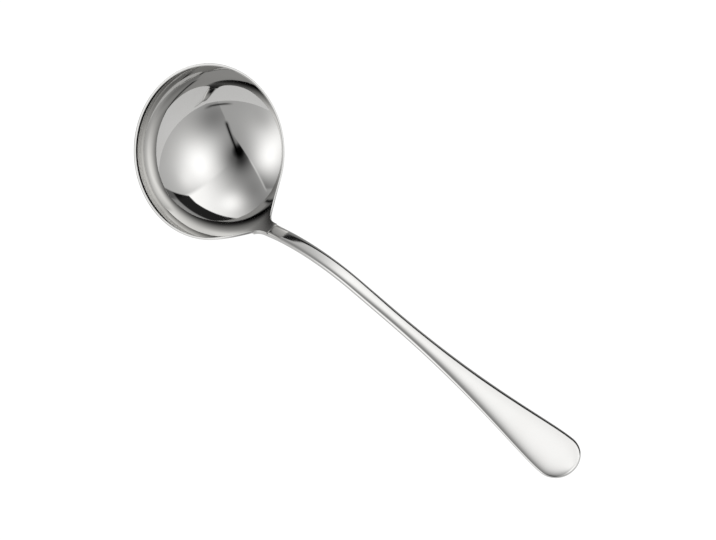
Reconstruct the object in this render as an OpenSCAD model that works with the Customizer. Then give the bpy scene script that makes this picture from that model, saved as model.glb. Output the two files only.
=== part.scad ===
// Soup ladle in polished stainless steel, lying on a table as it rests by itself:
// on the round belly of its bowl and on the back of its handle's end.
// It is made of three pieces. The bowl is drawn from sheet, with a tab of its wall
// left standing where its rim sweeps up to the neck. The handle is forged and ends
// square at its root. The neck weld joins the two. It is ground flush in front, and
// behind, its tongue follows the tab's fillets down the bowl's back and fades out.
// The pieces are built about the bowl's axis, with the rim plane at height zero and
// the handle leaving towards +X, and are then laid down together.

/* [Bowl] */
// Outer diameter of the bowl at its rim
bowl_d = 92; // [84:1:104]
// Depth of the hollow below the rim plane
bowl_depth = 24.5; // [22.5:0.5:27]
// Slope of the bowl's wall at its rim
rim_angle = 63; // [59:0.5:67]
// Slope at which the bowl's flatter bottom turns into its rounder side
turn_angle = 28; // [20:1:34]
// Thickness of the bowl's wall
bowl_wall = 1.2; // [0.8:0.1:1.6]

/* [Neck] */
// Width of the stretch of rim that leaves the rim plane and climbs to the neck
shoulder_w = 53.4; // [44:0.2:60]
// Radius of the rim's upward sweep, seen from the front
shoulder_radius = 39.2; // [32:0.2:50]
// Height above the rim plane up to which the wall carries on the bowl's round
round_rise = 3; // [1:0.5:8]
// Radius of the fillet between the sweep and the neck's side
neck_fillet = 6; // [3:0.5:8]
// Straight part of the tab's sides between the fillet and the weld
neck_run = 1.5; // [0.5:0.5:4]
// Width of the neck at the weld
neck_w = 8.2; // [7:0.2:10]
// Thickness of the handle's root at the weld
neck_t = 3.2; // [2.6:0.1:4]
// Width of the weld between the tab and the root
weld_l = 0.8; // [0.4:0.1:2]
// Length of the ground weld's tongue down the back of the bowl
tongue_l = 17; // [12:1:24]

/* [Handle] */
// Length of the handle along its face, from the weld's lower side to the tip
handle_l = 206.8; // [190:0.2:235]
// Straight stretch at the root, which carries on the slope of the bowl's wall
root_run = 4; // [2:0.2:14]
// Radius of the bend that lays the handle back
bend_radius = 114; // [90:1:150]
// Angle between the rim plane and the shank
shank_angle = 39.1; // [30:0.1:46]
// Length at the tip's end that lifts away from the shank's line
lift_l = 92; // [60:1:110]
// Angle by which that end has turned up at the tip
lift_angle = 2; // [1:0.1:6]
// Length over which the root narrows to the shank
root_taper_l = 8; // [4:1:14]
// Width of the shank where it is slimmest
shank_w = 7.9; // [6:0.1:9]
// Distance from the weld to where the shank starts to spread
spread_start = 83; // [70:1:100]
// How far the slim width eases into the spread
spread_ease_in = 61.5; // [40:0.5:70]
// How far before the widest place the spread is nearly done
spread_ease_out = 15.5; // [8:0.5:30]
// Greatest width, near the end
end_w = 26.2; // [20:0.2:28]
// Length of the rounded tip beyond the widest place
tip_l = 11.4; // [10:0.2:16]
// Thickness of the handle at its end
end_t = 2.6; // [2:0.1:3.2]
// Radius of the rounding of the tip's edge
tip_edge_r = 1.6; // [1:0.1:2.4]

/* [Section] */
// Squareness of the handle's face at the root: 2 is an ellipse, more is squarer
root_square = 4; // [3:0.1:6]
// Squareness of the handle's face at its end, where it is softly crowned
end_square = 2.2; // [2:0.1:4]
// Squareness of the handle's back, which is flatter than its face
back_square = 4.4; // [2.4:0.1:6]

/* [Hidden] */

steel = [0.80, 0.80, 0.79];
weld_steel = [0.74, 0.75, 0.76];

// Facets of round faces, points of a handle section, and steps along its stretches
round_n = 120;
bottom_steps = 10;
side_steps = 12;
rise_steps = 4;
section_n = 28;
root_steps = 4;
shank_steps = 22;
spread_steps = 22;
tip_steps = 12;
arc_steps = 12;
weld_steps = 8;
// Turn of the quarter round by which the tongue has narrowed where it ends
tongue_turn = 80;
// Room by which cutting blocks reach past what they cut, and by which the tongue's sides
// stay inside the tab's
past = 1;
tongue_inset = 0.1;

// Bowl: a flatter bottom and a rounder side, which meet smoothly and are carried on above
// the rim plane, then by cones. Inner and outer arcs share their centres.
bowl_r = bowl_d / 2;
floor_depth = bowl_depth + bowl_wall;
side_across = sin(rim_angle) - sin(turn_angle);
side_up = cos(turn_angle) - cos(rim_angle);
arc_split = sin(turn_angle) * side_up - side_across * (1 - cos(turn_angle));
bottom_r = (bowl_r * side_up - floor_depth * side_across) / arc_split;
side_r = (floor_depth * sin(turn_angle) - bowl_r * (1 - cos(turn_angle))) / arc_split;
bottom_centre = [0, bottom_r - floor_depth];
side_centre = [bowl_r - side_r * sin(rim_angle), side_r * cos(rim_angle)];
inner_side_r = side_r - bowl_wall;
wall_angle = acos((side_centre[1] - round_rise) / inner_side_r);
round_end = side_centre[0] + inner_side_r * sin(wall_angle);

// Neck: the rim climbs on one arc and turns into the neck's side on a fillet
shoulder_turn = asin((shoulder_w / 2 - neck_w / 2 - neck_fillet) / (shoulder_radius - neck_fillet));
sweep_z = shoulder_radius * (1 - cos(shoulder_turn));
neck_z = sweep_z + neck_fillet * cos(shoulder_turn) + neck_run;
neck_x = round_end + (neck_z - round_rise) / tan(wall_angle);

// The bowl's round is carried on to this height, past the end of its tab
tab_top = neck_z + neck_t;

// Handle: where its stretches end, measured along its face from the neck point
bend_end = root_run + bend_radius * (wall_angle - shank_angle) * PI / 180;
lift_start = handle_l - lift_l;
lift_radius = lift_l / (lift_angle * PI / 180);
widest = handle_l - tip_l;

function bezier(a, b, c, d, t) =
    a * pow(1 - t, 3) + 3 * b * pow(1 - t, 2) * t + 3 * c * (1 - t) * t * t + d * pow(t, 3);
function reversed(list) = [for (i = [len(list) - 1 : -1 : 0]) list[i]];

// Along a straight line, and along arcs that turn down or up, from one slope to another
function along(slope, run) = run * [cos(slope), sin(slope)];
function bend_down(radius, from, to) = radius * [sin(from) - sin(to), cos(to) - cos(from)];
function bend_up(radius, from, to) = radius * [sin(to) - sin(from), cos(from) - cos(to)];

// Slope of the handle's face and its place in the X-Z plane, at a distance from the neck point
function slope_at(s) =
    s < root_run ? wall_angle
    : s < bend_end ? wall_angle - (s - root_run) / bend_radius * 180 / PI
    : s < lift_start ? shank_angle
    : shank_angle + (s - lift_start) / lift_radius * 180 / PI;

neck_point = [neck_x, neck_z];
bend_point = neck_point + along(wall_angle, root_run);
shank_point = bend_point + bend_down(bend_radius, wall_angle, shank_angle);
lift_point = shank_point + along(shank_angle, lift_start - bend_end);

function place_at(s) =
    s < root_run ? neck_point + along(wall_angle, s)
    : s < bend_end ? bend_point + bend_down(bend_radius, wall_angle, slope_at(s))
    : s < lift_start ? shank_point + along(shank_angle, s - bend_end)
    : lift_point + bend_up(lift_radius, shank_angle, slope_at(s));

// Thickness tapers evenly to the end, and the tip's edge is rounded on a quarter circle
function thickness_at(s) = neck_t + (end_t - neck_t) * s / handle_l;
function edge_at(s) =
    handle_l - s < tip_edge_r ? sqrt(1 - pow(1 - (handle_l - s) / tip_edge_r, 2)) : 1;
function face_square_at(s) = root_square + (end_square - root_square) * min(1, s / spread_start);

// Stations of the handle: distance from the neck point and half width
shank_start = weld_l + root_taper_l;
root_stations = [for (i = [0 : root_steps - 1])
    let (u = i / root_steps)
    [weld_l + root_taper_l * u, shank_w / 2 + (neck_w - shank_w) / 2 * (1 - u) * (1 - u)]];
shank_stations = [for (i = [0 : shank_steps - 1])
    [shank_start + (spread_start - shank_start) * i / shank_steps, shank_w / 2]];
spread_stations = [for (i = [0 : spread_steps - 1])
    let (t = i / spread_steps)
    [bezier(spread_start, spread_start + spread_ease_in, widest - spread_ease_out, widest, t),
     bezier(shank_w / 2, shank_w / 2, end_w / 2, end_w / 2, t)]];
tip_stations = [for (i = [0 : tip_steps - 1])
    let (a = 90 * i / tip_steps) [widest + tip_l * sin(a), end_w / 2 * cos(a)]];
stations = concat(root_stations, shank_stations, spread_stations, tip_stations);

// One section of the handle: across it and out of its face, from the face's middle line
function signed_power(v, p) = sign(v) * pow(abs(v), p);
function section(s, half_w) = [for (i = [0 : section_n - 1])
    let (a = 360 * i / section_n,
         square = a > 180 ? back_square : face_square_at(s),
         half_t = thickness_at(s) / 2)
    [half_w * signed_power(cos(a), 2 / square),
     half_t * (edge_at(s) * signed_power(sin(a), 2 / square) - 1)]];

// Stations of the weld, down the wall from its upper side: distance from the neck point,
// half width, and how far its back lies under the face line
fillet_end = (sweep_z - neck_z) / sin(wall_angle);
fillet_half_w = neck_w / 2 + neck_fillet * (1 - sin(shoulder_turn)) - tongue_inset;
function tongue_back(s) = bezier(neck_t, neck_t, bowl_wall, bowl_wall / 4, -s / tongue_l);
weld_stations = concat(
    [[weld_l, neck_w / 2, neck_t], [0, neck_w / 2, neck_t]],
    [for (i = [0 : weld_steps])
        let (a = 90 - (90 - shoulder_turn) * i / weld_steps,
             s = (sweep_z + neck_fillet * (cos(shoulder_turn) - cos(a)) - neck_z) / sin(wall_angle))
        [s, neck_w / 2 + neck_fillet * (1 - sin(a)) - tongue_inset * i / weld_steps, tongue_back(s)]],
    [for (i = [1 : weld_steps])
        let (a = tongue_turn * i / weld_steps, s = fillet_end - (tongue_l + fillet_end) * sin(a))
        [s, fillet_half_w * cos(a), tongue_back(s)]]);
function weld_section(w) = [for (i = [0 : section_n - 1])
    let (a = 360 * i / section_n, square = a > 180 ? back_square : face_square_at(weld_l))
    [w[1] * signed_power(cos(a), 2 / square), w[2] / 2 * (signed_power(sin(a), 2 / square) - 1)]];

// A point of the X-Z plane that lies a given height out of the handle's face
function off_face(s, height) = place_at(s) + height * [-sin(slope_at(s)), cos(slope_at(s))];
function ring(station) = [for (p = section(station[0], station[1]))
    let (q = off_face(station[0], p[1])) [q[0], p[0], q[1]]];

// Resting pose: the ladle turns about Y until the bowl's belly and the handle's back
// both touch the table
face_line = [for (st = stations) off_face(st[0], 0)];
back_line = [for (st = stations) off_face(st[0], -thickness_at(st[0]) / 2 * (1 + edge_at(st[0])))];
tip_point = off_face(handle_l, -end_t / 2);
function touch_angle(p, centre, radius) =
    atan2(p[1] - centre[1], p[0] - centre[0]) + asin(radius / norm(p - centre));
function contact_angle(p) =
    let (a = touch_angle(p, side_centre, side_r))
    a > turn_angle ? a : touch_angle(p, bottom_centre, bottom_r);
rest_angle = min([for (p = back_line) if (norm(p - side_centre) > side_r) contact_angle(p)]);
function laid_x(p) = p[0] * cos(rest_angle) + p[1] * sin(rest_angle);
function laid_z(p) = p[1] * cos(rest_angle) - p[0] * sin(rest_angle);
laid_front = max([for (p = concat(face_line, back_line, [tip_point])) laid_x(p)]);
rear_slope = 90 - rest_angle;
laid_rear =
    rear_slope > rim_angle ? laid_x([-bowl_r, 0])
    : rear_slope > turn_angle ? laid_x([-side_centre[0], side_centre[1]]) - side_r
    : laid_x(bottom_centre) - bottom_r;
laid_floor =
    rest_angle > turn_angle ? laid_z(side_centre) - side_r : laid_z(bottom_centre) - bottom_r;

outer_outline = round_outline(0);
inner_outline = round_outline(bowl_wall);

module lay_down() {
    translate([-(laid_front + laid_rear) / 2, 0, -laid_floor])
        rotate([0, rest_angle, 0])
            children();
}

// Axes of the neck point: X across the neck, Y out of its face, Z up along the wall
module at_neck() {
    translate([neck_x, 0, neck_z])
        rotate([0, 90 - wall_angle, 0])
            rotate([0, 0, 90])
                children();
}

// Half outline of the bowl's round at some depth in its wall, from the axis out: the
// bottom's arc, then the side's, which passes the rim plane and ends at the wall's slope
function arc_point(centre, radius, slope) = centre + radius * [sin(slope), -cos(slope)];
function round_outline(inset) =
    let (side = side_r - inset,
         mouth_angle = acos(side_centre[1] / side),
         end = arc_point(side_centre, side, wall_angle))
    concat(
        [for (i = [0 : bottom_steps - 1])
            arc_point(bottom_centre, bottom_r - inset, turn_angle * i / bottom_steps)],
        [for (i = [0 : side_steps - 1])
            arc_point(side_centre, side, turn_angle + (mouth_angle - turn_angle) * i / side_steps)],
        [[side_centre[0] + side * sin(mouth_angle), 0]],
        [for (i = [1 : rise_steps])
            arc_point(side_centre, side, mouth_angle + (wall_angle - mouth_angle) * i / rise_steps)],
        [[end[0] + (tab_top - end[1]) / tan(wall_angle), tab_top]]);

// All that lies past the plane where the bowl's tab meets the weld
module beyond_weld() {
    translate([-bowl_d, -bowl_d, 0]) cube([2 * bowl_d, 2 * bowl_d, bowl_d]);
}

// The rim's outline seen from the front: flat, then up the sweep and the fillet to the neck
module front_outline() {
    sweep = [for (i = [0 : arc_steps])
        let (a = shoulder_turn * i / arc_steps)
        [shoulder_w / 2 - shoulder_radius * sin(a), shoulder_radius * (1 - cos(a))]];
    fillet = [for (i = [1 : arc_steps])
        let (a = shoulder_turn + (90 - shoulder_turn) * i / arc_steps)
        [neck_w / 2 + neck_fillet * (1 - sin(a)),
         sweep_z + neck_fillet * (cos(shoulder_turn) - cos(a))]];
    half = concat([[shoulder_w / 2, -past]], sweep, fillet, [[neck_w / 2, tab_top]]);
    polygon(concat(half, [for (p = reversed(half)) [-p[0], p[1]]]));
}

// The drawn bowl, with its tab standing above the rim plane and cut square at the weld
module bowl() {
    color(steel)
        lay_down()
            difference() {
                intersection() {
                    rotate_extrude($fn = round_n)
                        polygon(concat(outer_outline, reversed(inner_outline)));
                    union() {
                        translate([-bowl_d, -bowl_d, -bowl_d]) cube([2 * bowl_d, 2 * bowl_d, bowl_d]);
                        rotate([90, 0, 90]) linear_extrude(height = bowl_d) front_outline();
                    }
                }
                at_neck() beyond_weld();
            }
}

// The weld: a slice between tab and root, and a tongue that follows the fillets down the
// bowl's back, then narrows to a round end and fades into it
module neck_weld() {
    color(weld_steel)
        lay_down()
            difference() {
                at_neck() loft([for (w = weld_stations) [for (p = weld_section(w)) [p[0], p[1], w[0]]]]);
                intersection() {
                    rotate_extrude($fn = round_n) polygon(concat(outer_outline, [[0, tab_top]]));
                    at_neck() mirror([0, 0, 1]) beyond_weld();
                }
            }
}

// Sections of equal count joined into one solid, which ends in its first and last section
// or, where a tip is given, in that point
module loft(rings, tip = undef) {
    last = len(rings) - 1;
    points = concat([for (r = rings) each r], is_undef(tip) ? [] : [tip]);
    function at(i, j) = i * section_n + j % section_n;
    sides = [for (i = [0 : last - 1], j = [0 : section_n - 1])
        each [[at(i, j), at(i + 1, j), at(i + 1, j + 1)], [at(i, j), at(i + 1, j + 1), at(i, j + 1)]]];
    root = [for (j = [0 : section_n - 1]) at(0, j)];
    end = is_undef(tip)
        ? [[for (j = [section_n - 1 : -1 : 0]) at(last, j)]]
        : [for (j = [0 : section_n - 1]) [at(last, j), len(points) - 1, at(last, j + 1)]];
    polyhedron(points, concat([root], sides, end), convexity = 4);
}

// The forged handle: sections lofted along its face line, closed to a point at the tip
module handle() {
    color(steel)
        lay_down()
            loft([for (st = stations) ring(st)], [tip_point[0], 0, tip_point[1]]);
}

bowl();
neck_weld();
handle();
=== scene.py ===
from math import acos, asin, cos, pi, radians, sin, sqrt, tan

import bmesh
import bpy
from mathutils import Matrix, Vector


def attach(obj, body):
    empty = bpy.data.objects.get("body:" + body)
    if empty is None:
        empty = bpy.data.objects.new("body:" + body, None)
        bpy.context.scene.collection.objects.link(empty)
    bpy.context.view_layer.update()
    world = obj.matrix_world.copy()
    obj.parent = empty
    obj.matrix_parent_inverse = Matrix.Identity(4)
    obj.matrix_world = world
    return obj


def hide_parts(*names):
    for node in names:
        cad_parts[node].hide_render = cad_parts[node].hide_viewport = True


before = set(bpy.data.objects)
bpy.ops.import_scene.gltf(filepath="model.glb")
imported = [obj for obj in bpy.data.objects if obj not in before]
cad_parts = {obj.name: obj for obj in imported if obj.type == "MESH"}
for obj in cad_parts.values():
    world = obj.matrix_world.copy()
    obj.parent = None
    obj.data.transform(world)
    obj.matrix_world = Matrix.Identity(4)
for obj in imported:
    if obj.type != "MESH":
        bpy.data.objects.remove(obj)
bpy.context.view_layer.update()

print("frame loaded:", sorted(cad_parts))

# The pieces are made in millimetres about the bowl's own axis, with the rim plane at
# height zero and the handle leaving towards +X, and are then laid on the table together.
lyingPose = {"turn": 45.1513, "back": 106.904, "lift": 34.7277}
layDown = (
    Matrix.Scale(0.001, 4)
    @ Matrix.Translation((-lyingPose["back"], 0, lyingPose["lift"]))
    @ Matrix.Rotation(radians(lyingPose["turn"]), 4, "Y")
)


# A shader socket that takes Python's own operators; each one adds its Math node.
class Wire:
    def __init__(self, tree, socket=None):
        self.tree = tree
        self.socket = socket

    def node(self, kind, settings=None, sockets=None, output=0):
        made = self.tree.nodes.new(kind)
        for name, value in (settings or {}).items():
            setattr(made, name, value)
        for name, value in (sockets or {}).items():
            if isinstance(value, Wire):
                self.tree.links.new(value.socket, made.inputs[name])
            else:
                made.inputs[name].default_value = value
        return Wire(self.tree, made.outputs[output]) if len(made.outputs) else None

    def maths(self, operation, first, second=0.0):
        return self.node("ShaderNodeMath", {"operation": operation}, {0: first, 1: second})

    def __add__(self, other):
        return self.maths("ADD", self, other)

    def __sub__(self, other):
        return self.maths("SUBTRACT", self, other)

    def __rsub__(self, other):
        return self.maths("SUBTRACT", other, self)

    def __mul__(self, other):
        return self.maths("MULTIPLY", self, other)

    def __truediv__(self, other):
        return self.maths("DIVIDE", self, other)

    def __pow__(self, other):
        return self.maths("POWER", self, other)

    __radd__ = __add__
    __rmul__ = __mul__

    def smooth(self, low, high):
        return self.node(
            "ShaderNodeMapRange",
            {"interpolation_type": "SMOOTHSTEP"},
            {"Value": self, "From Min": low, "From Max": high},
        )


# Pulls an open row or a closed ring of verts on by one row, and gives the new verts in order.
def pullRow(bm, row, closed=False):
    pairs = list(zip(row, row[1:] + row[:1])) if closed else list(zip(row, row[1:]))
    edges = [bm.edges.get(pair) for pair in pairs]
    made = bmesh.ops.extrude_edge_only(bm, edges=edges)["geom"]
    fresh = [v for v in made if isinstance(v, bmesh.types.BMVert)]
    return [min(fresh, key=lambda v: (v.co - old.co).length_squared) for old in row]


def finishPiece(bm, name, material, sharpEdges=()):
    bmesh.ops.transform(bm, matrix=layDown, verts=bm.verts)
    for face in bm.faces:
        face.smooth = True
    for edge in sharpEdges:
        edge.smooth = False
    mesh = bpy.data.meshes.new(name)
    bm.to_mesh(mesh)
    bm.free()
    mesh.materials.append(material)
    piece = bpy.data.objects.new(name, mesh)
    bpy.context.scene.collection.objects.link(piece)
    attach(piece, "root")
    print(name, "made,", len(mesh.polygons), "faces")
    return piece


bowlShape = {
    "rimRadius": 46.0,
    "hollowDepth": 24.5,
    "rimSlope": 63.0,
    "turnSlope": 28.0,
    "wall": 1.2,
    "inset": 0.02,  # keeps the outer skin inside the box of the plain model
    "shoulderWidth": 53.4,
    "sweepRadius": 39.2,
    "roundRise": 3.0,
    "filletRadius": 6.0,
    "neckRun": 1.5,
    "neckWidth": 8.2,
    "edgeRound": 0.3,
    "edgeSteps": 3,
    "ledge": 0.6,
    "band": 2.2,
    "bottomSteps": 18,
    "sideSteps": 28,
    "bandSteps": 8,
    "roundColumns": 110,
    "sweepColumns": 30,
    "tabColumns": 10,
    "filletRows": 14,
    "sameVert": 0.0005,
    "mirrorGap": 0.001,
    "cutGap": 0.01,
}

# The round's outline: a flatter bottom's arc, then a rounder side's, up to the rim.
rimSlope, turnSlope = radians(bowlShape["rimSlope"]), radians(bowlShape["turnSlope"])
floorDepth = bowlShape["hollowDepth"] + bowlShape["wall"]
sideAcross, sideUp = sin(rimSlope) - sin(turnSlope), cos(turnSlope) - cos(rimSlope)
arcSplit = sin(turnSlope) * sideUp - sideAcross * (1 - cos(turnSlope))
bottomRadius = (bowlShape["rimRadius"] * sideUp - floorDepth * sideAcross) / arcSplit
sideRadius = (
    floorDepth * sin(turnSlope) - bowlShape["rimRadius"] * (1 - cos(turnSlope))
) / arcSplit
bottomCentre = Vector((0, 0, bottomRadius - floorDepth))
sideCentre = Vector(
    (bowlShape["rimRadius"] - sideRadius * sin(rimSlope), 0, sideRadius * cos(rimSlope))
)
innerSide = sideRadius - bowlShape["wall"]
wallSlope = acos((sideCentre.z - bowlShape["roundRise"]) / innerSide)

halfNeck = bowlShape["neckWidth"] / 2
shoulderTurn = asin(
    (bowlShape["shoulderWidth"] / 2 - halfNeck - bowlShape["filletRadius"])
    / (bowlShape["sweepRadius"] - bowlShape["filletRadius"])
)
sweepTop = bowlShape["sweepRadius"] * (1 - cos(shoulderTurn))
neckHeight = sweepTop + bowlShape["filletRadius"] * cos(shoulderTurn) + bowlShape["neckRun"]
wallRun = (neckHeight - bowlShape["roundRise"]) / tan(wallSlope)
neckReach = sideCentre.x + innerSide * sin(wallSlope) + wallRun
neckPoint = Vector((neckReach, 0, neckHeight))
upWall = Vector((cos(wallSlope), 0, sin(wallSlope)))


# The rim's sweep and the fillet seen from the front: half width and height.
def sweepPoint(turn):
    radius = bowlShape["sweepRadius"]
    return bowlShape["shoulderWidth"] / 2 - radius * sin(turn), radius * (1 - cos(turn))


def filletPoint(turn):
    radius = bowlShape["filletRadius"]
    return halfNeck + radius * (1 - sin(turn)), sweepTop + radius * (cos(shoulderTurn) - cos(turn))


# Distance from the axis of a skin at some depth in the wall, at a height near the rim or
# above it: round up to the wall's slope, and straight from there.
def wallReach(inset, height):
    radius = sideRadius - inset
    below = sideCentre.z - height
    if below > radius * cos(wallSlope):
        return sideCentre.x + sqrt(radius**2 - below**2)
    straight = (radius * cos(wallSlope) - below) / tan(wallSlope)
    return sideCentre.x + radius * sin(wallSlope) + straight


# One skin of half the bowl. An outline is spun from column to column, the rim is lifted
# up the wall to the shoulder's sweep, and the tab is pulled up from it row by row.
def drawSkin(bm, inset):
    def onWall(width, height):
        return Vector((sqrt(wallReach(inset, height) ** 2 - width**2), width, height))

    tabHalf, tabFoot = sweepPoint(shoulderTurn)
    steps = bowlShape["tabColumns"]
    rise = [(tabHalf * k / steps, tabFoot) for k in range(steps)]
    steps = bowlShape["sweepColumns"]
    rise += [sweepPoint(shoulderTurn * (1 - k / steps)) for k in range(steps + 1)]
    bearings = [asin(width / onWall(width, height).xy.length) for width, height in rise]
    steps = bowlShape["roundColumns"]
    last = bearings[-1]
    bearings += [last + (pi - last) * k / steps for k in range(1, steps + 1)]

    before = set(bm.verts)
    end = [bm.verts.new((0, 0, inset - floorDepth))]
    ledge, band = (radians(bowlShape[k]) for k in ("ledge", "band"))
    side = acos(sideCentre.z / (sideRadius - inset)) - turnSlope - band - ledge
    for centre, angle, steps in (
        (bottomCentre, turnSlope, bowlShape["bottomSteps"]),
        (sideCentre, side, bowlShape["sideSteps"]),
        (sideCentre, band, bowlShape["bandSteps"]),
        (sideCentre, ledge, 1),
    ):
        spun = bmesh.ops.spin(bm, geom=end, cent=centre, axis=(0, -1, 0), angle=angle, steps=steps)
        end = [v for v in spun["geom_last"] if isinstance(v, bmesh.types.BMVert)]
    column = sorted((v for v in bm.verts if v not in before), key=lambda v: v.co.z)
    columns = [column]
    for bearing, following in zip(bearings, bearings[1:]):
        edges = list({e for v in column for e in v.link_edges if e.other_vert(v) in column})
        angle = following - bearing
        turned = bmesh.ops.spin(
            bm, geom=column + edges, cent=(0, 0, 0), axis=(0, 0, 1), angle=angle, steps=1
        )
        column = [v for v in turned["geom_last"] if isinstance(v, bmesh.types.BMVert)]
        column.sort(key=lambda v: v.co.z)
        columns.append(column)

    # under the sweep the band's rings are drawn up with the rim, its ledge unchanged
    step = columns[0][-1].co.z - columns[0][-2].co.z
    steps = bowlShape["bandSteps"]
    for column, (width, height) in zip(columns, rise):
        column[-1].co = onWall(width, height)
        outward = column[-1].co.xy.normalized()
        foot = column[-2 - steps].co.z
        for k in range(steps):
            lifted = height - step - (height - step - foot) * k / steps
            column[-2 - k].co = (*(outward * wallReach(inset, lifted)), lifted)

    row = [column[-1] for column in columns[: bowlShape["tabColumns"] + 1]]
    steps = bowlShape["filletRows"]
    left = pi / 2 - shoulderTurn
    rows = [filletPoint(shoulderTurn + left * k / steps) for k in range(1, steps + 1)]
    for width, height in rows + [(halfNeck, neckHeight)]:
        row = pullRow(bm, row)
        for k, vert in enumerate(row):
            vert.co = onWall(width * k / bowlShape["tabColumns"], height)
    # the tab's end is cut square to the wall
    for vert in row:
        vert.co += upWall * (neckPoint - vert.co).dot(upWall)


def makeBowl(material):
    bm = bmesh.new()
    drawSkin(bm, bowlShape["wall"])
    drawSkin(bm, bowlShape["inset"])
    bmesh.ops.remove_doubles(bm, verts=bm.verts, dist=bowlShape["sameVert"])
    half = bm.verts[:] + bm.edges[:] + bm.faces[:]
    bmesh.ops.mirror(bm, geom=half, axis="Y", merge_dist=bowlShape["mirrorGap"])
    bmesh.ops.remove_doubles(bm, verts=bm.verts, dist=bowlShape["sameVert"])
    openEdges = [e for e in bm.edges if e.is_boundary]
    rimFaces = set(bmesh.ops.bridge_loops(bm, edges=openEdges)["faces"])
    bmesh.ops.recalc_face_normals(bm, faces=bm.faces)

    def onCut(edge):
        return all(
            abs((v.co - neckPoint).dot(upWall)) < bowlShape["cutGap"] and v.co.x > 0
            for v in edge.verts
        )

    rounded = [
        e for e in bm.edges if sum(f in rimFaces for f in e.link_faces) == 1 and not onCut(e)
    ]
    made = bmesh.ops.bevel(
        bm, geom=rounded, offset=bowlShape["edgeRound"], offset_type="OFFSET",
        segments=bowlShape["edgeSteps"], profile=0.5, affect="EDGES", clamp_overlap=False,
        material=-1,
    )
    curved = set(made["faces"])
    sharp = [
        e for e in bm.edges
        if sum(f in curved for f in e.link_faces) == 1 or (len(e.link_faces) == 2 and onCut(e))
    ]
    piece = finishPiece(bm, "polishedBowl", material, sharp)
    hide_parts("bowl")


handleShape = {
    "length": 206.8,
    "rootRun": 4.0,
    "bendRadius": 114.0,
    "shankAngle": 39.1,
    "liftLength": 92.0,
    "liftAngle": 2.0,
    "rootTaper": 8.0,
    "shankWidth": 7.9,
    "spreadStart": 83.0,
    "easeIn": 61.5,
    "easeOut": 15.5,
    "endWidth": 26.2,
    "tipLength": 11.4,
    "rootThickness": 3.2,
    "endThickness": 2.6,
    "tipEdge": 1.6,
    "rootSquare": 4.0,
    "endSquare": 2.2,
    "backSquare": 4.4,
    "sectionPoints": 56,
    "rootSteps": 6,
    "shankSteps": 36,
    "spreadSteps": 44,
    "tipSteps": 22,
}

widestPlace = handleShape["length"] - handleShape["tipLength"]
shankSlope = radians(handleShape["shankAngle"])
bendEnd = handleShape["rootRun"] + handleShape["bendRadius"] * (wallSlope - shankSlope)
liftStart = handleShape["length"] - handleShape["liftLength"]
liftRadius = handleShape["liftLength"] / radians(handleShape["liftAngle"])


def bezier(a, b, c, d, t):
    return a * (1 - t) ** 3 + 3 * b * (1 - t) ** 2 * t + 3 * c * (1 - t) * t * t + d * t**3


# Place and slope of the handle's face line in the X-Z plane, at a distance from the neck.
def facePlace(s):
    radius = handleShape["bendRadius"]
    x, z, slope = neckReach, neckHeight, wallSlope
    run = min(s, handleShape["rootRun"])
    x, z = x + run * cos(slope), z + run * sin(slope)
    if s > handleShape["rootRun"]:
        slope = wallSlope - (min(s, bendEnd) - handleShape["rootRun"]) / radius
        x += radius * (sin(wallSlope) - sin(slope))
        z += radius * (cos(slope) - cos(wallSlope))
    if s > bendEnd:
        run = min(s, liftStart) - bendEnd
        x, z = x + run * cos(slope), z + run * sin(slope)
    if s > liftStart:
        lifted = slope + (s - liftStart) / liftRadius
        x += liftRadius * (sin(lifted) - sin(slope))
        z += liftRadius * (cos(slope) - cos(lifted))
        slope = lifted
    return x, z, slope


def signedPower(value, power):
    return abs(value) ** power * (1 if value > 0 else -1)


# A point of the section round the handle, from 0 to 1: across it, and out of its face.
def sectionPoint(s, part):
    angle = 2 * pi * part
    share = min(1, s / handleShape["spreadStart"])
    root, end = handleShape["rootSquare"], handleShape["endSquare"]
    face = root + (end - root) * share
    square = handleShape["backSquare"] if sin(angle) < 0 else face
    return signedPower(cos(angle), 2 / square), signedPower(sin(angle), 2 / square)


def thicknessAt(s):
    root, end = handleShape["rootThickness"], handleShape["endThickness"]
    return root + (end - root) * s / handleShape["length"]


# Moves a ring of verts to its section: s along the face line, half width, and the heights
# of the face and the back out of the face line.
def setRing(ring, s, halfWidth, top, bottom):
    x, z, slope = facePlace(s)
    for k, vert in enumerate(ring):
        across, out = sectionPoint(max(s, 0), k / len(ring))
        height = (top + bottom) / 2 + (top - bottom) / 2 * out
        vert.co = (x - height * sin(slope), halfWidth * across, z + height * cos(slope))


def startRing(bm):
    ring = bmesh.ops.create_circle(bm, segments=handleShape["sectionPoints"], radius=1)["verts"]
    return sorted(ring, key=lambda v: v.index)


# The handle's sections from the weld to the tip: each one's place and half width.
def handleStations():
    start = weldShape["width"]
    halfShank = handleShape["shankWidth"] / 2
    halfEnd = handleShape["endWidth"] / 2
    steps = handleShape["rootSteps"]
    for k in range(steps):
        part = k / steps
        half = halfShank + (halfNeck - halfShank) * (1 - part) ** 2
        yield start + handleShape["rootTaper"] * part, half
    start += handleShape["rootTaper"]
    steps = handleShape["shankSteps"]
    for k in range(steps):
        yield start + (handleShape["spreadStart"] - start) * k / steps, halfShank
    start = handleShape["spreadStart"]
    easeIn, easeOut = start + handleShape["easeIn"], widestPlace - handleShape["easeOut"]
    steps = handleShape["spreadSteps"]
    for k in range(steps):
        half = bezier(halfShank, halfShank, halfEnd, halfEnd, k / steps)
        yield bezier(start, easeIn, easeOut, widestPlace, k / steps), half
    steps = handleShape["tipSteps"]
    for k in range(steps):
        turn = pi / 2 * k / steps
        yield widestPlace + handleShape["tipLength"] * sin(turn), halfEnd * cos(turn)


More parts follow.
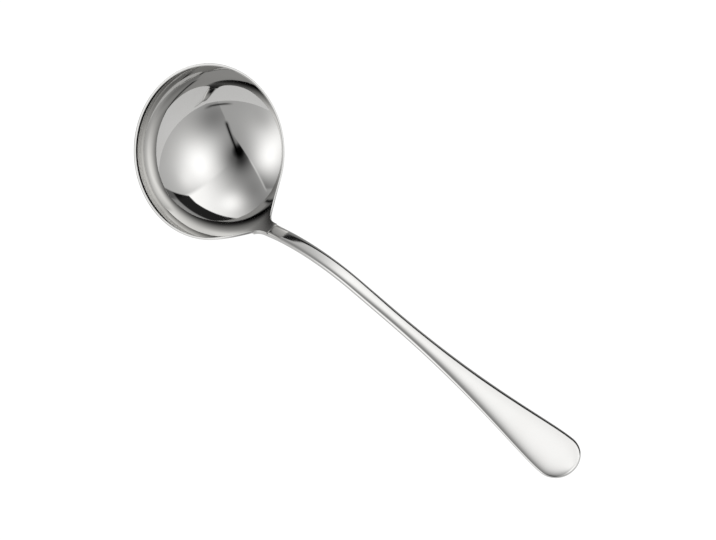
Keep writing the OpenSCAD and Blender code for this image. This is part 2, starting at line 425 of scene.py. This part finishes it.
def makeHandle(material):
    bm = bmesh.new()
    ring = startRing(bm)
    first = ring
    for place, (s, halfWidth) in enumerate(handleStations()):
        if place:
            ring = pullRow(bm, ring, closed=True)
        thick = thicknessAt(s)
        left = (handleShape["length"] - s) / handleShape["tipEdge"]
        edge = sqrt(1 - (1 - left) ** 2) if left < 1 else 1
        setRing(ring, s, halfWidth, -thick / 2 * (1 - edge), -thick / 2 * (1 + edge))
    ring = pullRow(bm, ring, closed=True)
    x, z, slope = facePlace(handleShape["length"])
    tip = handleShape["endThickness"] / 2
    bmesh.ops.pointmerge(bm, verts=ring, merge_co=(x + tip * sin(slope), 0, z - tip * cos(slope)))
    bmesh.ops.contextual_create(bm, geom=first)
    bmesh.ops.recalc_face_normals(bm, faces=bm.faces)
    sharp = [e for e in bm.edges if any(len(f.verts) > 4 for f in e.link_faces)]
    piece = finishPiece(bm, "forgedHandle", material, sharp)
    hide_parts("handle")


weldShape = {
    "width": 0.8,
    "tongue": 17.0,
    "tongueSteps": 16,
    "tongueInset": 0.1,
    "tongueTurn": 80.0,
    "sunk": 0.6,
}


# The weld: a slice between tab and root, and a tongue that follows the fillets down the
# bowl's back, then narrows to a round end and fades into it.
def makeWeld(material):
    bm = bmesh.new()
    ring = startRing(bm)
    first = ring
    thick = handleShape["rootThickness"]
    wall = bowlShape["wall"]
    tongue, steps, inset = (weldShape[k] for k in ("tongue", "tongueSteps", "tongueInset"))
    setRing(ring, weldShape["width"], halfNeck, 0, -thick)
    ring = pullRow(bm, ring, closed=True)
    setRing(ring, 0, halfNeck, 0, -thick)

    stations = []
    for k in range(steps + 1):
        half, height = filletPoint(pi / 2 - (pi / 2 - shoulderTurn) * k / steps)
        stations.append(((height - neckHeight) / sin(wallSlope), half - inset * k / steps))
    filletEnd, widest = stations[-1]
    for k in range(1, steps + 1):
        turn = radians(weldShape["tongueTurn"]) * k / steps
        stations.append((filletEnd - (tongue + filletEnd) * sin(turn), widest * cos(turn)))
    for s, half in stations:
        ring = pullRow(bm, ring, closed=True)
        back = bezier(thick, thick, wall, wall / 4, -s / tongue)
        setRing(ring, s, half, -weldShape["sunk"], -back)
    bmesh.ops.contextual_create(bm, geom=first)
    bmesh.ops.contextual_create(bm, geom=ring)
    bmesh.ops.recalc_face_normals(bm, faces=bm.faces)
    sharp = [e for e in bm.edges if any(len(f.verts) > 4 for f in e.link_faces)]
    piece = finishPiece(bm, "groundWeld", material, sharp)
    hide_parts("neck_weld")


# Polished stainless steel. The bowl was polished as it spun, so its faint lines run round
# it; the handle and the weld were polished lengthwise. Steel is a little duller in soft
# clouds, along the bowl's rim, and where the ladle rubs the table that it lies on.
steelLook = {
    "tint": (0.673, 0.669, 0.658),
    "dullTint": (0.654, 0.648, 0.635),
    "dullFrom": 0.35,
    "dullTo": 0.75,
    "cloudScale": 55.0,
    "cloudRoughness": 0.024,
    "lineLean": 0.7,
    "lineRoughness": 0.01,
    "rimFrom": 0.98,
    "rimTo": 0.99,
    "rimDull": 0.05,
    "rubbedHeight": 0.004,
    "rubbedRoughness": 0.1,
    "scratchScale": 2600.0,
    "scratchFrom": 0.4,
    "scratchTo": 0.7,
    "bowl": {"roughness": 0.03, "lines": 1500.0, "waviness": 0.8, "lineDepth": 4e-7},
    "handle": {"roughness": 0.07, "lines": 1800.0, "waviness": 12.0, "lineDepth": 8e-7},
    "weld": {"roughness": 0.13, "lines": 2400.0, "waviness": 60.0, "lineDepth": 2e-6},
}


def steel(name, kind):
    finish = steelLook[kind]
    material = bpy.data.materials.new(name)
    material.use_nodes = True
    tree = material.node_tree
    tree.nodes.clear()
    bench = Wire(tree)
    where = bench.node("ShaderNodeTexCoord", output=3)
    height = bench.node("ShaderNodeSeparateXYZ", sockets={"Vector": where}, output=2)

    # the bowl's own axes: round it, its distance from the axis and its height
    own = bench.node(
        "ShaderNodeMapping",
        {"vector_type": "POINT"},
        {
            "Vector": where,
            "Location": layDown.inverted().translation / 1000,
            "Rotation": (0, -radians(lyingPose["turn"]), 0),
        },
    )
    x, y, z = (
        bench.node("ShaderNodeSeparateXYZ", sockets={"Vector": own}, output=k) for k in range(3)
    )
    if kind == "bowl":
        reach = (x * x + y * y + 1e-9) ** 0.5
        across = (reach + z * steelLook["lineLean"]) * finish["lines"]
        first, second = x / reach * finish["waviness"], y / reach * finish["waviness"]
    else:
        across = y * finish["lines"]
        first, second = x * finish["waviness"], z * finish["waviness"]
    grain = bench.node("ShaderNodeCombineXYZ", sockets={0: across, 1: first, 2: second})
    lines = bench.node("ShaderNodeTexNoise", sockets={"Vector": grain, "Scale": 1.0, "Detail": 2.0})
    cloud = bench.node(
        "ShaderNodeTexNoise",
        sockets={"Vector": where, "Scale": steelLook["cloudScale"], "Detail": 3.0},
    )
    scratches = bench.node(
        "ShaderNodeTexNoise",
        sockets={"Vector": where, "Scale": steelLook["scratchScale"], "Detail": 2.0},
    )

    scratched = scratches.smooth(steelLook["scratchFrom"], steelLook["scratchTo"])
    rubbed = (1 - height.smooth(0.0, steelLook["rubbedHeight"])) * scratched
    roughness = finish["roughness"] + (cloud - 0.5) * steelLook["cloudRoughness"]
    roughness = roughness + (lines - 0.5) * steelLook["lineRoughness"]
    roughness = roughness + rubbed * steelLook["rubbedRoughness"]
    if kind == "bowl":
        rim = bowlShape["rimRadius"] / 1000
        edge = reach.smooth(rim * steelLook["rimFrom"], rim * steelLook["rimTo"])
        roughness = roughness + edge * steelLook["rimDull"]
    dulled = cloud.smooth(steelLook["dullFrom"], steelLook["dullTo"])
    tint = bench.node(
        "ShaderNodeMix",
        {"data_type": "RGBA"},
        {0: dulled, 6: (*steelLook["tint"], 1), 7: (*steelLook["dullTint"], 1)},
        output=2,
    )
    bump = bench.node(
        "ShaderNodeBump",
        sockets={"Height": lines, "Strength": 1.0, "Distance": finish["lineDepth"]},
    )
    shader = bench.node(
        "ShaderNodeBsdfPrincipled",
        sockets={"Base Color": tint, "Metallic": 1.0, "Roughness": roughness, "Normal": bump},
    )
    bench.node("ShaderNodeOutputMaterial", sockets={"Surface": shader})
    return material


makeBowl(steel("polishedBowlSteel", "bowl"))
makeHandle(steel("polishedHandleSteel", "handle"))
makeWeld(steel("groundWeldSteel", "weld"))


# A round white table top that glows evenly, so that nothing throws a hard shadow on it.
# Steel reflects it dimmer than the camera sees it.
tableTop = {
    "radius": 0.38,
    "segments": 96,
    "under": (-0.09, 0.0),
    "tint": (0.12, 0.12, 0.12),
    "roughness": 0.7,
    "glow": 0.97,
    "reflected": 0.62,
}


def layTable():
    bm = bmesh.new()
    bmesh.ops.create_circle(
        bm, cap_ends=True, segments=tableTop["segments"], radius=tableTop["radius"]
    )
    bmesh.ops.translate(bm, verts=bm.verts, vec=(*tableTop["under"], 0))
    mesh = bpy.data.meshes.new("tableTop")
    bm.to_mesh(mesh)
    bm.free()
    material = bpy.data.materials.new("tableTop")
    material.use_nodes = True
    tree = material.node_tree
    tree.nodes.clear()
    bench = Wire(tree)
    seen = bench.node("ShaderNodeLightPath")
    glow, reflected = tableTop["glow"], tableTop["reflected"]
    shader = bench.node(
        "ShaderNodeBsdfPrincipled",
        sockets={
            "Base Color": (*tableTop["tint"], 1),
            "Roughness": tableTop["roughness"],
            "Emission Color": seen * (glow - reflected) + reflected,
            "Emission Strength": 1.0,
        },
    )
    bench.node("ShaderNodeOutputMaterial", sockets={"Surface": shader})
    mesh.materials.append(material)
    floor = bpy.data.objects.new("tableTop", mesh)
    bpy.context.scene.collection.objects.link(floor)
    print("table laid")


layTable()

# A soft tent of three lit walls round the table, which meet at a gap for the lens. A
# place is a compass bearing from +X and a height above the table, in degrees. Each wall
# has an even light, and lights and shades on it, each with its place, its strength and
# how tightly it gathers. A seam runs through its places; one gapes as a dark line and one
# has a light lip. There is a dark gap where two walls meet the table, and a dark card
# stands low behind the bowl, paler at its foot.
lensGap = (-45.1, 61.6)
studio = {
    "evenLight": {"left": 1.525, "right": 0.59, "front": 0.494},
    "lights": {
        "left": (((60, 59.8), 0.206, 5.6), ((129.1, 67.5), 2.134, 30)),
        "right": (((23, 44.8), 1.201, 8.7), ((54.8, 30.3), 0.194, 71.2)),
        "front": (((-116.2, 52), 1.668, 14.2), ((-97, 21.1), 1.085, 7.9)),
    },
    "shades": {
        "left": (
            (lensGap, 0.948, 7),
            (lensGap, 0.456, 96.8),
            ((174.1, 35), 0.655, 11.5),
            ((177.9, 70.2), 0.782, 4.3),
        ),
        "right": ((lensGap, 0.866, 7.9), (lensGap, 0.613, 51.4), ((-15.7, 12.9), 0.553, 13.4)),
        "front": (((175.6, 69.4), 0.875, 3.3), ((-78.1, 10.9), 0.382, 15.6)),
    },
    "seams": {
        "leftRight": ((-40, 56), (20, 63.5), (65, 38.4)),
        "leftFront": ((-46, 50), (-88, 65.5), (-161, 54.5)),
        "rightFront": ((-32.5, 46), (-28, 22.7)),
        "frontEnd": ((-161, 0), (-161, 60)),
    },
    "middles": {"left": (87, 50), "right": (25, 45), "front": (-105, 35)},
    "edge": 0.012,
    "softEdge": 0.036,
    "seamLine": {
        "width": 0.026,
        "dark": 0.99,
        "bottom": (0.33, 0.42),
        "top": (0.81, 0.84),
        "near": (0.4, 0.6),
    },
    "seamLight": {"at": (-125, 66), "near": 0.97, "far": 0.88, "width": 0.018, "extra": 0.3},
    "lens": {"at": (-41, 54.5), "inner": 0.9990, "outer": 0.9850, "dark": 0.98},
    "floorGap": {"at": (-25, 1), "near": 0.999, "far": 0.955, "width": 0.024, "dark": 0.9},
    "card": {
        "from": 70.5,
        "to": 165,
        "top": ((71, 31), (112, 42.5), (150, 34.5)),
        "foot": ((72, 13), (95, 25), (150, 27.5)),
        "above": (90, 80),
        "dark": 0.985,
        "footDark": 0.76,
        "footEdge": 0.024,
    },
    "gain": 1.227,
    "behind": 1.05,
}


def aim(place):
    bearing, height = radians(place[0]), radians(place[1])
    return Vector((cos(height) * cos(bearing), cos(height) * sin(bearing), sin(height)))


# The plane of a seam, by its normal towards a place inside and its distance: a great
# circle through two places, or the circle through three.
def seamPlane(places, inside):
    ends = [aim(place) for place in places]
    if len(ends) == 3:
        normal = (ends[1] - ends[0]).cross(ends[2] - ends[0]).normalized()
        distance = normal.dot(ends[0])
    else:
        normal, distance = ends[0].cross(ends[1]).normalized(), 0.0
    turned = 1 if normal.dot(aim(inside)) > distance else -1
    return normal * turned, distance * turned


def lightStudio():
    world = bpy.data.worlds.new("studio")
    bpy.context.scene.world = world
    world.use_nodes = True
    tree = world.node_tree
    tree.nodes.clear()
    bench = Wire(tree)
    way = bench.node("ShaderNodeTexCoord")

    def along(axis):
        return bench.node(
            "ShaderNodeVectorMath", {"operation": "DOT_PRODUCT"}, {0: way, 1: axis}, output=1
        )

    def beyond(places, inside):
        normal, distance = seamPlane(places, inside)
        return along(normal) - distance

    def gathered(place, tight):
        return bench.maths("EXPONENT", (along(aim(place)) - 1) * tight)

    def wall(name):
        light = studio["evenLight"][name]
        for place, strength, tight in studio["lights"][name]:
            light = gathered(place, tight) * strength + light
        for place, strength, tight in studio["shades"][name]:
            light = light * (1 - gathered(place, tight) * strength)
        return light

    def bell(distance, width):
        return bench.maths("EXPONENT", (distance / width) ** 2 * -1)

    edge, softEdge = studio["edge"], studio["softEdge"]
    seams, middles = studio["seams"], studio["middles"]
    pastLeft = beyond(seams["leftFront"], middles["front"])
    pastRight = beyond(seams["rightFront"], middles["front"])
    pastEnd = beyond(seams["frontEnd"], middles["front"])
    onFront = pastLeft.smooth(-edge, edge) * pastRight.smooth(-edge, edge)
    onFront = onFront * pastEnd.smooth(-softEdge, softEdge)
    onRight = beyond(seams["leftRight"], middles["right"]).smooth(-softEdge, softEdge)
    light = wall("left") * (1 - onRight) + wall("right") * onRight
    lens = studio["lens"]
    inLens = along(aim(lens["at"])).smooth(lens["outer"], lens["inner"])
    light = light * (1 - inLens * lens["dark"])
    light = light * (1 - onFront) + wall("front") * onFront

    height = along((0, 0, 1))
    line = studio["seamLine"]
    seam = bell(pastRight, line["width"]) * along(aim(seams["rightFront"][0])).smooth(*line["near"])
    seam = seam * height.smooth(*line["bottom"]) * (1 - height.smooth(*line["top"]))
    light = light * (1 - seam * line["dark"])
    glow = studio["seamLight"]
    lip = bell(pastLeft, glow["width"]) * along(aim(glow["at"])).smooth(glow["far"], glow["near"])
    light = light + lip * glow["extra"]
    gap = studio["floorGap"]
    low = bell(height, gap["width"]) * along(aim(gap["at"])).smooth(gap["far"], gap["near"])
    light = light * (1 - low * gap["dark"])

    card = studio["card"]
    first, second = aim((card["from"], 0)), aim((card["to"], 0))
    upright = Vector((0, 0, 1))
    underTop = 1 - beyond(card["top"], card["above"]).smooth(-edge, edge)
    inCard = underTop * along(upright.cross(first)).smooth(-edge, edge)
    inCard = inCard * along(second.cross(upright)).smooth(-edge, edge)
    atFoot = 1 - beyond(card["foot"], card["above"]).smooth(-card["footEdge"], card["footEdge"])
    light = light * (1 - inCard * (card["dark"] - atFoot * (card["dark"] - card["footDark"])))

    seen = bench.node("ShaderNodeLightPath")
    light = light * studio["gain"] * (1 - seen) + seen * studio["behind"]
    shader = bench.node("ShaderNodeBackground", sockets={"Strength": light})
    bench.node("ShaderNodeOutputWorld", sockets={"Surface": shader})
    print("studio lit")


lightStudio()

# The photograph's camera: where it stands round the object, its roll, what it looks at.
photoCamera = {
    "bearing": 36.5423,
    "height": 57.3039,
    "roll": 5.6047,
    "target": (-0.0086548, 0.0053503, 0.0197914),
    "distance": 1.3849,
    "lens": 135.672,
    "sensor": 36,
    "clip": (0.1, 20),
}


def placeCamera():
    bearing, height, roll = (radians(photoCamera[k]) for k in ("bearing", "height", "roll"))
    back = Vector((sin(bearing) * cos(height), -cos(bearing) * cos(height), sin(height)))
    right = Vector((cos(bearing), sin(bearing), 0))
    up = back.cross(right)
    right, up = cos(roll) * right + sin(roll) * up, cos(roll) * up - sin(roll) * right
    place = Vector(photoCamera["target"]) + photoCamera["distance"] * back
    data = bpy.data.cameras.new("photoCamera")
    data.lens = photoCamera["lens"]
    data.sensor_width = photoCamera["sensor"]
    data.clip_start, data.clip_end = photoCamera["clip"]
    camera = bpy.data.objects.new("photoCamera", data)
    bpy.context.scene.collection.objects.link(camera)
    turn = Matrix((right, up, back)).transposed().to_4x4()
    camera.matrix_world = Matrix.Translation(place) @ turn
    bpy.context.scene.camera = camera
    bpy.context.scene.view_settings.view_transform = "Standard"
    print("camera placed")


placeCamera()
